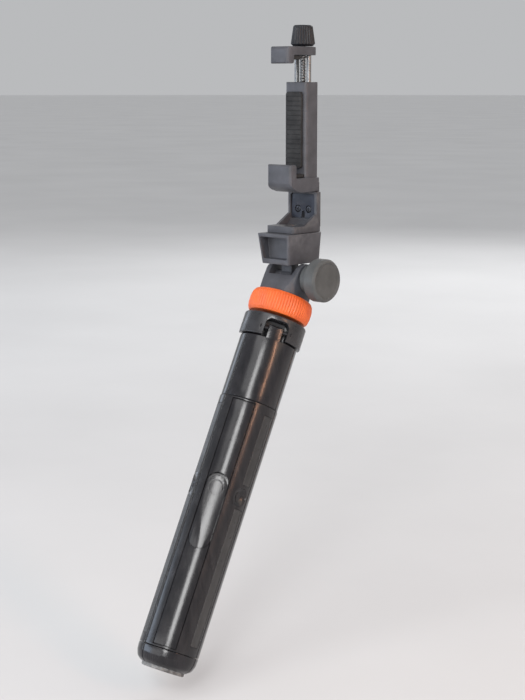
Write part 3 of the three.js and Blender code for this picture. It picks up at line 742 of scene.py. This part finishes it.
def thumb_flat(depth):
    """The space behind a nearly flat thumb rest, deepest at the remote's top and run out at its foot."""
    low, high = REMOTE_LOW - 1, REMOTE_TOP + 1
    profile = [(0, low)]
    for z in lines(low, high, 0.8):
        slope = smooth(0, 1, (z - REMOTE_LOW - 2) / (REMOTE_TOP - REMOTE_LOW - 8))
        profile.append((FLAT_RADIUS - (depth + 0.05) * slope + 0.05, z))
    tool = lathe(profile + [(0, high)], 360)
    turned = Matrix.Rotation(math.radians(FLAT_TURN), 4, "Z") @ Matrix.Translation((0, FLAT_RADIUS, 0))
    tool.transform(Matrix.Translation((0, -REMOTE_FACE, 0)) @ turned)
    return tool


remote_place = face_place("front")
remote = common(prism(remote_outline(), -19.5, -REMOTE_BACK, "y"), rod(REMOTE_FACE, 60, 140, steps=240))
nail_notch = cut(prism(rounded_rect(-8, 8, REMOTE_LOW - 1, REMOTE_TOP + 1, 7.9), -19.5, -16.9, "y"),
                 prism(remote_outline(0.12, 1.7), -20, -16.7, "y"))
well = rod(WELL_RADIUS, -20, -16.6, "y", 96, (0, BUTTON_HEIGHT))
remote = softened(cut(common(remote, thumb_flat(FLAT_DEPTH)), nail_notch, well), 0.12, clamp=True, flat=0.02)
piece("remote_case", remote, remote_place, "remote", "gloss", "gloss_plastic", "remote_body", sharp=28)
button = common(rod(BUTTON_RADIUS, -19, BUTTON_BACK, "y", 96, (0, BUTTON_HEIGHT)),
                rod(REMOTE_FACE - 0.02, 60, 140, steps=240))
button = softened(common(button, thumb_flat(FLAT_DEPTH - 0.02)), 0.03, clamp=True, flat=0.02)
piece("shutter_button", button, remote_place, "remote_button", "gloss", "gloss_plastic", "remote_button",
      sharp=28)

# ------------------------------------------------------------------ handle: collar, ring and tubes

collar = lathe(fillet([(9.1, COLLAR_LOW), (20.3, COLLAR_LOW), (20.3, COLLAR_TOP), (9.1, COLLAR_TOP)],
                      [0, 0.5, 1.1, 0]), 240)
openings = []
for turn in LEG_TURN.values():
    arch = prism(rounded_rect(-7.6, 7.6, COLLAR_LOW - 10, COLLAR_TOP - 3.2, 3.5), -22, -10.5, "y")
    bore = rod(PIN_BORE, -10.3, 10.3, "x", 32, (-HINGE_RADIUS, HINGE_HEIGHT))
    for tool in (arch, bore):
        openings.append(moved(tool, Matrix.Rotation(math.radians(turn), 4, "Z")))
piece("hinge_collar", softened(cut(collar, *openings), 0.3), HANDLE, "handle", "collar", "handle_plastic",
      "leg_collar")

RIBS = 66
RING_RADIUS = 20.48
ring_seat = node_span("lock_collet", HANDLE)[0].z - GAP
ring_outline = fillet([(9.1, RING_LOW), (18.6, RING_LOW), (19.9, RING_LOW + 2),
                       (RING_RADIUS, RING_LOW + 5.2), (RING_RADIUS, RING_TOP - 5.2), (19.9, RING_TOP - 2),
                       (18.6, RING_TOP), (12.9, RING_TOP), (11.2, ring_seat), (9.1, ring_seat)],
                      [0, 0.8, 3, 6, 6, 3, 0.8, 0.3, 0, 0], steps=8)


def ring_ribs(angle, radius, z):
    if radius < 18.9:
        return 0
    return -0.42 * (0.5 + 0.5 * math.cos(RIBS * angle)) ** 2 * smooth(18.9, 19.6, radius)


piece("ribbed_ring", lathe(ring_outline, RIBS * 8, ring_ribs), HANDLE, "lock_ring", "orange",
      "orange_plastic", "lock_ring", sharp=50)

for node, body in (("outer_tube", "handle"), ("tube_2", "stage_2"), ("tube_3", "stage_3"),
                   ("tube_4", "stage_4"), ("tube_5", "stage_5")):
    low, high = node_span(node, HANDLE)
    wall = 0.8 if node != "tube_5" else high.x - 1.8
    outline = fillet([(high.x - wall, low.z), (high.x, low.z), (high.x, high.z), (high.x - wall, high.z)],
                     [0.1, 0.1, 0.25, 0.25])
    name = node.replace("outer_tube", "fixed_tube").replace("tube_", "tube_stage_")
    piece(name, lathe(outline, 96), HANDLE, body, "tube", "tube_metal", node)

# ------------------------------------------------------------------ neck and tilt joint

CROWN = 9.3
BOLT_BORE = 2.7
shoulder = math.radians(8)
arc = [(CROWN * math.cos(a), CROWN * math.sin(a))
       for a in (shoulder + (math.pi - 2 * shoulder) * k / 48 for k in range(49))]
neck_low = node_span("neck", NECK)[0].z
neck_side = [(-10, -2), (-13.6, neck_low), (13.6, neck_low), (10, -2)] + arc
neck_front = mirrored([(14.6, neck_low), (14, -2), (14, CROWN)])
neck = common(prism(neck_front, -20, 20, "y"), prism(neck_side, -20, 20, "x"),
              rod(16.5, neck_low, CROWN + 1, steps=180))
neck = cut(neck, block(-10, 10, -20, 20, -1.7, 20), rod(6, -10, 10, "x", 96), rod(BOLT_BORE, -20, 20, "x"),
           rod(3.3, -8.3, 0), rod(1.8, -11, 0), rod(4.7, neck_low - 1, -10))
piece("neck_fork", softened(neck, 0.45), NECK, "neck", "head", "head_plastic", "neck")

ALONG_X = Matrix.Rotation(math.pi / 2, 4, "Y")
knob_high = node_span("tilt_knob", HEAD)[1]
outer_x, knob_radius = knob_high.x, knob_high.y
knob_outline = [(0, 28.1), (2.7, 28.1), (2.7, 22.6), (4.3, 22.6), (4.3, 14.6), (7.6, 14.6), (9.2, 16),
                (9.6, 21.4), (12.9, 22), (knob_radius, 23.2), (knob_radius, outer_x - 1.6), (12.4, outer_x),
                (11.3, outer_x), (10.7, outer_x - 0.6), (0, outer_x - 0.6)]
knob_radii = [0, 0, 0, 0, 0.2, 0.6, 1, 0.8, 0.5, 0.8, 1.1, 0.7, 0.3, 0.4, 0]
tilt_knob = lathe(fillet(knob_outline, knob_radii, False, 6), 160)
tilt_knob.transform(ALONG_X)
# the handwheel's lighter plastic is painted light
piece("tilt_handwheel", tilt_knob, HEAD, "tilt_knob", "knob", "head_plastic", "tilt_knob")

bolt_left = node_span("tilt_bolt", HEAD)[0].x
bolt = lathe(fillet([(0, bolt_left), (4.6, bolt_left), (4.6, bolt_left + 2.2), (2.4, bolt_left + 2.2),
                     (2.4, 27.5), (0, 27.5)], [0, 0.8, 0.2, 0.1, 0.4, 0], False), 64)
bolt.transform(ALONG_X)
socket = rod(1.8, bolt_left - 1, bolt_left + 1.4, "x", 6)
piece("tilt_bolt_turned", softened(cut(bolt, socket), 0.12), HEAD, "neck", "steel", "steel", "tilt_bolt")

# ------------------------------------------------------------------ tilt block and bracket

BLOCK_LOW, BLOCK_HIGH = 9.5, 28.9
PAN_BORE, PAN_Y = 2.6, 3
block_body = loft([(BLOCK_LOW, rounded_rect(-11.6, 11.6, -14.4, 18, 1.4, 5)),
                   (BLOCK_HIGH, rounded_rect(-13.4, 13.4, -17, 18, 1.4, 5))])
LUG_RADIUS, LUG_HALF, LUG_NECK = 5.3, 4.3, 3.5
lug_start = math.acos(LUG_NECK / LUG_RADIUS)
lug_arc = [(LUG_RADIUS * math.cos(a), LUG_RADIUS * math.sin(a))
           for a in (lug_start - (math.pi + 2 * lug_start) * k / 72 for k in range(73))]
lug = prism([(LUG_NECK, BLOCK_LOW + 1)] + lug_arc + [(-LUG_NECK, BLOCK_LOW + 1)], -LUG_HALF, LUG_HALF, "x")
mouth_outline = fillet([(-9.9, 12.8), (9.9, 12.8), (11.4, 26.7), (-11.4, 26.7)], 1.0)
tilt_block = cut(join(block_body, lug), prism(mouth_outline, -20, -8.8, "y"), rod(BOLT_BORE, -20, 20, "x"),
                 rod(PAN_BORE, 16.6, 30, at=(0, PAN_Y)))
piece("tilt_block_moulded", softened(tilt_block, 0.45, clamp=True), HEAD, "tilt_head", "head",
      "head_plastic", "tilt_block")

LEDGE_LOW, LEDGE_HIGH = 29.2, 33.4
PLATE_FRONT, PLATE_BACK, PLATE_TOP = 11.8, 15.7, 54.5
SCREW_X, SCREW_Z = 4.5, 43.2
gusset = [(-0.2, LEDGE_HIGH - 0.5), (12.8, LEDGE_HIGH - 0.5), (12.8, 41.1), (PLATE_FRONT, 40.6),
          (-0.2, LEDGE_HIGH)]
screw_wells = []
for x in (-SCREW_X, SCREW_X):
    screw_wells += [rod(1.4, 0, 20, "y", 32, (x, SCREW_Z)), rod(2.4, 0, 14.2, "y", 48, (x, SCREW_Z))]
panel_slot = prism(fillet([(-1.5, 37.4), (1.5, 37.4), (1, 42), (-1, 42)], 0.5), 0, 20, "y")
bracket = cut(
    join(prism(rounded_rect(-12, 12, -10, 16, 2.5, 1), LEDGE_LOW, LEDGE_HIGH),
         block(-12, 12, PLATE_FRONT, PLATE_BACK, LEDGE_HIGH - 1, PLATE_TOP),
         prism(gusset, 10, 12, "x"), prism(gusset, -12, -10, "x"),
         prism([(PLATE_FRONT + 0.1, LEDGE_HIGH - 0.1), (8.4, LEDGE_HIGH - 0.1), (9.4, LEDGE_HIGH + 0.9),
                (10.8, LEDGE_HIGH + 2.2), (PLATE_FRONT + 0.1, LEDGE_HIGH + 3.2)], -10.5, 10.5, "x")),
    prism(rounded_rect(-10.2, 10.2, 36.9, 53.4, 2), 0, PLATE_FRONT + 1.5, "y"), panel_slot,
    rod(PAN_BORE, 28, 40, at=(0, PAN_Y)), rod(4.5, LEDGE_HIGH - 2.1, 40, at=(0, PAN_Y)), *screw_wells)
panel = cut(prism(rounded_rect(-9.7, 9.7, 37.4, 52.9, 1.5), PLATE_FRONT + 0.9, PLATE_FRONT + 1.49, "y"),
            panel_slot, *screw_wells)
piece("bracket_moulded", softened(bracket, 0.3, clamp=True), HEAD, "clamp", "bracket", "head_plastic",
      "clamp_bracket")
# the panel's darker, bluer plastic is painted shade from the phone and jaw above it
piece("bracket_panel", softened(panel, 0.12, clamp=True), HEAD, "clamp", "panel", "head_plastic",
      "clamp_bracket")

pan_low, pan_high = node_span("pan_bolt", HEAD)
pan_bolt = lathe(fillet([(0, pan_low.z), (2.3, pan_low.z), (2.3, LEDGE_HIGH - 1.8), (4.2, LEDGE_HIGH - 1.8),
                         (4.2, pan_high.z), (0, pan_high.z)], [0, 0.3, 0, 0.1, 0.5, 0], False), 64)
pan_bolt = cut(pan_bolt, rod(1.6, pan_high.z - 0.9, pan_high.z + 1, steps=6))
pan_bolt.transform(Matrix.Translation((0, PAN_Y, 0)))
piece("pan_bolt_turned", pan_bolt, HEAD, "clamp", "steel", "steel", "pan_bolt")


def screw_head(radius, face, depth, tip, shank):
    """A pan-head screw along Y whose face looks to -Y, with a cross recess."""
    outline = fillet([(0, 0), (radius, 0), (radius, depth), (shank, depth), (shank, tip), (0, tip)],
                     [0, 0.5, 0.1, 0, 0.2, 0], False)
    screw = lathe(outline, 64)
    arms = [block(-0.22, 0.22, -radius * 0.62, radius * 0.62, -1, 0.55),
            block(-radius * 0.62, radius * 0.62, -0.22, 0.22, -1, 0.55)]
    screw = cut(screw, *arms)
    screw.transform(Matrix.Translation((0, face, 0)) @ Matrix.Rotation(-math.pi / 2, 4, "X"))
    return screw


for side, x in (("left", -SCREW_X), ("right", SCREW_X)):
    screw = screw_head(2.1, 12.9, 1, 5.1, 1.1)
    screw.transform(Matrix.Translation((x, 0, SCREW_Z)))
    piece(f"bracket_screw_{side}", screw, HEAD, "clamp", "dark_steel_and_shade", "steel", f"panel_screw_{side}")

# ------------------------------------------------------------------ phone clamp

SPINE_BACK = 17.2
LEAD_Y, LEAD_BORE = 11.7, 2.3  # the lead screw's place behind the phone
GUIDE_X, GUIDE_BORE = 5, 1.8
JAW_FRONT, JAW_INNER = -11.4, -5.9
COVER_SCREWS = {"lower": 70, "upper": 90}
jaw_side = fillet([(SPINE_BACK - 1, 54.8), (-2, 54.8), (-7, 56.4), (-10, 58.4), (JAW_FRONT, 61),
                   (JAW_FRONT, 72.4), (JAW_INNER, 72.4), (JAW_INNER, 63.9), (SPINE_BACK - 1, 63.9)],
                  [0, 5, 3, 3, 4, 1.5, 1.5, 0.6, 0], steps=6)
lower_jaw = common(prism(jaw_side, -10.5, 10.5, "x"),
                   prism(rounded_rect(-10.5, 10.5, JAW_FRONT, SPINE_BACK, 3, 2), 54, 73))
guides = [rod(GUIDE_BORE, 57, 125, at=(x, LEAD_Y)) for x in (-GUIDE_X, GUIDE_X)]
clamp_frame = cut(
    join(prism(rounded_rect(-9, 9, 4.6, SPINE_BACK, 2.5), 54.8, 124), lower_jaw,
         block(-9, 9, 16, 18.3, 37.5, 60.8)),
    rod(LEAD_BORE, 57, 125, at=(0, LEAD_Y)), *guides, block(-7.5, 7.5, 15.6, 20, 64, 121),
    block(-3, 3, 8.7, 16, 108.7, 115.3),
    *(rod(1.2, 14.6, 20, "y", at=(0, z)) for z in COVER_SCREWS.values()),
    *(rod(1.4, 15, 25, "y", at=(x, SCREW_Z)) for x in (-SCREW_X, SCREW_X)))
piece("clamp_moulded", softened(clamp_frame, 0.5), HEAD, "clamp", "head", "head_plastic", "clamp_frame")

cover_low, cover_high = node_span("spine_cover", HEAD)
cover = prism(rounded_rect(cover_low.x, cover_high.x, cover_low.z, cover_high.z, 1),
              cover_low.y, cover_high.y, "y")
cover = cut(cover, *(rod(2, 15, 20, "y", at=(0, z)) for z in COVER_SCREWS.values()))
piece("rear_cover", softened(cover, 0.25), HEAD, "clamp", "head", "head_plastic", "spine_cover")
for level, z in COVER_SCREWS.items():
    screw = screw_head(1.7, 0, 1, 2.1, 0.9)
    screw.transform(Matrix.Translation((0, 17, z)) @ Matrix.Rotation(math.pi, 4, "Z"))
    piece(f"rear_screw_{level}", screw, HEAD, "clamp", "dark_steel_and_shade", "steel", f"cover_screw_{level}")


def grooved_pad(node, thin, along, pitch):
    """A rubber pad with rounded corners and shallow grooves across the face that meets the phone."""
    low, high = node_span(node, HEAD)
    if thin == "z":
        pad = prism(rounded_rect(low.x, high.x, low.y, high.y, 1.5), low.z, high.z)
        face = high.z if along > 0 else low.z
        tools = [rod(0.35, low.x - 1, high.x + 1, "x", 16, (y, face))
                 for y in lines(low.y + 1.6, high.y - 1.6, pitch)]
    else:
        pad = prism(rounded_rect(low.x, high.x, low.z, high.z, 2), low.y, high.y, "y")
        tools = [rod(0.35, low.x - 1, high.x + 1, "x", 16, (low.y, z))
                 for z in lines(low.z + 3, high.z - 3, pitch)]
    return cut(softened(pad, 0.3), *tools)


piece("seat_pad", grooved_pad("lower_pad", "z", 1, 1.6), HEAD, "clamp", "pad", "black_rubber", "lower_pad")
piece("spine_pad", grooved_pad("back_pad", "y", 1, 3.0), HEAD, "clamp", "pad", "black_rubber", "back_pad")
piece("top_pad", grooved_pad("upper_pad", "z", -1, 1.6), HEAD, "upper_jaw", "pad", "black_rubber",
      "upper_pad")

ARM_LOW, ARM_HIGH, ARM_HALF, LIP_LOW = 140.7, 146, 8.2, 135.4
arm_side = fillet([(JAW_FRONT, LIP_LOW), (JAW_INNER, LIP_LOW), (JAW_INNER, ARM_LOW), (22, ARM_LOW),
                   (22, ARM_HIGH), (JAW_FRONT, ARM_HIGH)], [1.3, 1.3, 0.5, 0, 0, 2.6], steps=6)
half_turn = [(ARM_HALF * math.cos(a), LEAD_Y + ARM_HALF * math.sin(a)) for a in
             (math.pi * k / 40 for k in range(41))]
arm_plan = half_turn + fillet([(-ARM_HALF, 5), (-ARM_HALF, JAW_FRONT), (ARM_HALF, JAW_FRONT), (ARM_HALF, 5)],
                              [0, 3, 3, 0], False, 8)
upper_jaw = cut(common(prism(arm_side, -9, 9, "x"), prism(arm_plan, LIP_LOW - 1, ARM_HIGH + 1)),
                rod(LEAD_BORE, 139, 147, at=(0, LEAD_Y)),
                *(rod(GUIDE_BORE, 139, 144.5, at=(x, LEAD_Y)) for x in (-GUIDE_X, GUIDE_X)))
piece("upper_jaw_moulded", softened(upper_jaw, 0.5), HEAD, "upper_jaw", "head", "head_plastic", "upper_jaw")

for side in ("left", "right"):
    low, high = node_span(f"guide_rod_{side}", HEAD)
    outline = fillet([(0, low.z), (1.5, low.z), (1.5, high.z), (0, high.z)], [0, 0.4, 0.1, 0], False)
    guide = lathe(outline, 48)
    guide.transform(Matrix.Translation(((low.x + high.x) / 2, (low.y + high.y) / 2, 0)))
    piece(f"guide_pin_{side}", guide, HEAD, "upper_jaw", "steel", "steel", f"guide_rod_{side}")

THREAD_PITCH, THREAD_STEPS = 2.0, 32
screw_low, screw_high = (corner.z for corner in node_span("lead_screw", HEAD))


def threaded_rod(radius, depth, low, high, pitch, steps):
    """A rod whose radius follows a helical thread, with plain ends."""
    rows = int((high - low) / pitch * 10)
    verts, faces = [(0, 0, low)], []
    for j in range(rows + 1):
        z = low + (high - low) * j / rows
        ease = smooth(0, 1.2, min(z - low, high - z))
        chamfer = 0.3 * (1 - smooth(0, 0.4, min(z - low, high - z)))
        for k in range(steps):
            phase = ((z / pitch - k / steps) % 1) * math.tau
            r = radius - depth * (0.5 + 0.5 * math.cos(phase)) * ease - chamfer
            verts.append((r * math.cos(math.tau * k / steps), r * math.sin(math.tau * k / steps), z))
    verts.append((0, 0, high))
    for k in range(steps):
        n = (k + 1) % steps
        faces.append([0, 1 + n, 1 + k])
        faces.append([len(verts) - 1, 1 + rows * steps + k, 1 + rows * steps + n])
        for j in range(rows):
            a, b = 1 + j * steps, 1 + (j + 1) * steps
            faces.append([a + k, a + n, b + n, b + k])
    return mesh_from(verts, faces)


lead = threaded_rod(2.0, 0.35, screw_low, screw_high, THREAD_PITCH, THREAD_STEPS)
lead.transform(Matrix.Translation((0, LEAD_Y, 0)))
piece("threaded_screw", lead, HEAD, "jaw_screw", "steel", "steel", "lead_screw", sharp=60)

TOP_LOW, TOP_HIGH = (corner.z for corner in node_span("top_knob", HEAD))
KNURLS = 24
cap_outline = fillet([(0, 150.9), (2.3, 150.9), (2.3, TOP_LOW), (6.3, TOP_LOW), (7.75, TOP_LOW + 1.4),
                      (6.2, TOP_HIGH - 0.9), (5.3, TOP_HIGH), (0, TOP_HIGH)],
                     [0, 0, 0.1, 0.3, 0.7, 0.5, 0.5, 0], False, 6)


def divided(outline, parts, height):
    """An outline whose stretches taller than the height are cut into equal parts."""
    out = []
    for (r0, z0), (r1, z1) in zip(outline, outline[1:]):
        out.append((r0, z0))
        if z1 - z0 > height:
            out += [(r0 + (r1 - r0) * k / parts, z0 + (z1 - z0) * k / parts) for k in range(1, parts)]
    return out + [outline[-1]]


def knurls(angle, radius, z):
    band = smooth(TOP_LOW + 0.6, TOP_LOW + 2.2, z) * (1 - smooth(TOP_HIGH - 1.6, TOP_HIGH - 0.7, z))
    return -0.6 * (0.5 + 0.5 * math.cos(KNURLS * angle)) * band if radius > 5.5 else 0


cap = lathe(divided(cap_outline, 8, 5), KNURLS * 8, knurls)
cap.transform(Matrix.Translation((0, LEAD_Y, 0)))
piece("knurled_knob", cap, HEAD, "jaw_screw", "dark_head", "head_plastic", "top_knob", sharp=50)

# ------------------------------------------------------------------ camera, floor and light

CAMERA_AT = Vector((0.6569, -0.6871, 0.2542))
CAMERA_YAW = math.radians(42.124)
CAMERA_PITCH = math.radians(-9.81)
LENS_MM = 80.2

camera_data = bpy.data.cameras.new("camera")
camera_data.lens = LENS_MM
camera_data.sensor_width = 36
camera_data.clip_start = 0.01
camera = bpy.data.objects.new("camera", camera_data)
camera.location = CAMERA_AT
camera.rotation_euler = (math.pi / 2 + CAMERA_PITCH, 0, CAMERA_YAW)
scene.collection.objects.link(camera)
scene.camera = camera

FLOOR_RADIUS, FLOOR_THICK, FLOOR_BELOW = 40, 0.02, 0.012  # metres
floor_mesh = lathe([(0, -FLOOR_THICK), (FLOOR_RADIUS, -FLOOR_THICK), (FLOOR_RADIUS, 0), (0, 0)], 64)
floor_mesh.transform(Matrix.Translation((0, 0, cad_box[0][2] - FLOOR_BELOW)))
floor = bpy.data.objects.new("floor", floor_mesh)
scene.collection.objects.link(floor)
floor_look = Builder("floor")
floor_mesh.materials.append(floor_look.finish(
    floor_look.mix(floor_look.ramp(floor_look.noise(3, 4), 0.3, 0.7),
                   (0.60, 0.60, 0.605), (0.64, 0.64, 0.645)),
    floor_look.ramp(floor_look.noise(40, 4), 0.3, 0.7, 0.85, 0.95),
    floor_look.bump(floor_look.noise(700, 3), 0.1, 0.0002), Specular_IOR_Level=0.15))

world = bpy.data.worlds.new("studio")
world.use_nodes = True
world.node_tree.nodes["Background"].inputs["Color"].default_value = (0.70, 0.71, 0.725, 1)
world.node_tree.nodes["Background"].inputs["Strength"].default_value = 0.70
scene.world = world
scene.view_settings.view_transform = "Standard"

LIT_POINT = Vector((0, 0.02, 0.05))


def softbox(name, turn, rise, distance, size, power, colour=(1, 1, 1)):
    """An area light: turn is degrees from -Y towards +X, rise is degrees above the horizon."""
    t, r = math.radians(turn), math.radians(rise)
    offset = Vector((math.sin(t) * math.cos(r), -math.cos(t) * math.cos(r), math.sin(r)))
    data = bpy.data.lights.new(name, "AREA")
    data.shape = "RECTANGLE"
    data.size, data.size_y = size
    data.energy = power
    data.color = colour
    lamp = bpy.data.objects.new(name, data)
    lamp.location = LIT_POINT + offset * distance
    lamp.rotation_euler = (-offset).to_track_quat("-Z", "Y").to_euler()
    scene.collection.objects.link(lamp)


sun_data = bpy.data.lights.new("key", "SUN")
sun_data.energy = 0.7
sun_data.angle = math.radians(35)
sun = bpy.data.objects.new("key", sun_data)
sun.rotation_euler = (math.radians(40), 0, math.radians(8))
scene.collection.objects.link(sun)
softbox("strip", 33, 24, 1.85, (0.42, 0.95), 19)
softbox("beside_strip", -2, 10, 1.8, (1.3, 0.6), 5)
softbox("warm_strip", 82, 22, 1.7, (0.045, 0.58), 6, (1, 0.52, 0.32))
softbox("warm_fill", 112, 24, 2.1, (1.8, 1.0), 7, (1, 0.80, 0.62))
softbox("cool_fill", 318, 8, 2.2, (1.6, 0.5), 12, (0.70, 0.82, 1))
softbox("rim", 205, 30, 2.6, (0.9, 1.4), 20)
softbox("side", 268, 12, 2.4, (0.5, 1.2), 5, (0.78, 0.87, 1))
